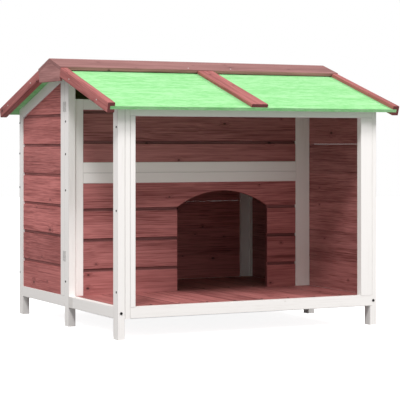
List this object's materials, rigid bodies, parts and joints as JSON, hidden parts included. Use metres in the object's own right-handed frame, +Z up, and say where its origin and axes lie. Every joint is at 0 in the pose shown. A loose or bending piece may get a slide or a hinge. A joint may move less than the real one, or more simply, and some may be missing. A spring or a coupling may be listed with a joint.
{
  "type": "dog house",
  "caption": "Timber dog house with an open covered porch, an arched doorway to an enclosed cabin and a low felted saddle roof on short legs.",
  "frame": {"origin": "on the ground under the middle of the house, which is the bottom centre of the bounding box", "axes": "+X to the right seen from the porch, along the ridge, +Y from the porch to the rear wall, +Z up"},
  "size_m": [1.169, 1.0864, 0.9832],
  "materials": {
    "stained_timber": "red stain over pine, satin",
    "floor_timber": "red stain over pine, satin",
    "white_timber": "white opaque stain, satin",
    "roofing_felt": "pale green mineral felt, matte",
    "galvanised_steel": "zinc, dull",
    "black_steel": "black, satin"
  },
  "bodies": {
    "root": {"door_arch_board": "stained_timber", "door_boards_left": "stained_timber", "door_boards_right": "stained_timber", "floor_joist": "floor_timber", "floor_planks": "floor_timber", "front_bottom_rail": "white_timber", "front_floor_ledger": "floor_timber", "front_left_barge_board": "stained_timber", "front_left_post": "white_timber", "front_left_stile": "white_timber", "front_left_strip": "white_timber", "front_leg_bolts": "black_steel", "front_middle_batten": "stained_timber", "front_ridge_board": "stained_timber", "front_right_barge_board": "stained_timber", "front_right_post": "white_timber", "front_right_stile": "white_timber", "front_roof_board": "roofing_felt", "front_top_rail": "white_timber", "left_cabin_boards": "stained_timber", "left_cabin_bottom_rail": "white_timber", "left_cabin_stile": "white_timber", "left_cabin_top_rail": "white_timber", "left_joining_plates": "galvanised_steel", "left_porch_bottom_rail": "white_timber", "left_ridge_end_plate": "stained_timber", "lower_left_stile": "white_timber", "lower_right_stile": "white_timber", "lower_top_rail": "white_timber", "mid_left_post": "white_timber", "mid_right_post": "white_timber", "rear_bottom_rail": "white_timber", "rear_floor_ledger": "floor_timber", "rear_left_barge_board": "stained_timber", "rear_left_post": "white_timber", "rear_left_stile": "white_timber", "rear_leg_bolts": "black_steel", "rear_middle_batten": "stained_timber", "rear_ridge_board": "stained_timber", "rear_right_barge_board": "stained_timber", "rear_right_post": "white_timber", "rear_right_stile": "white_timber", "rear_roof_board": "roofing_felt", "rear_top_rail": "white_timber", "rear_wall_boards": "stained_timber", "right_cabin_boards": "stained_timber", "right_cabin_bottom_rail": "white_timber", "right_cabin_stile": "white_timber", "right_cabin_top_rail": "white_timber", "right_joining_plates": "galvanised_steel", "right_porch_boards": "stained_timber", "right_porch_bottom_rail": "white_timber", "right_porch_top_rail": "white_timber", "right_ridge_end_plate": "stained_timber", "upper_bottom_rail": "white_timber", "upper_left_stile": "white_timber", "upper_partition_boards": "stained_timber", "upper_right_stile": "white_timber", "upper_top_rail": "white_timber"}
  },
  "joints": []
}
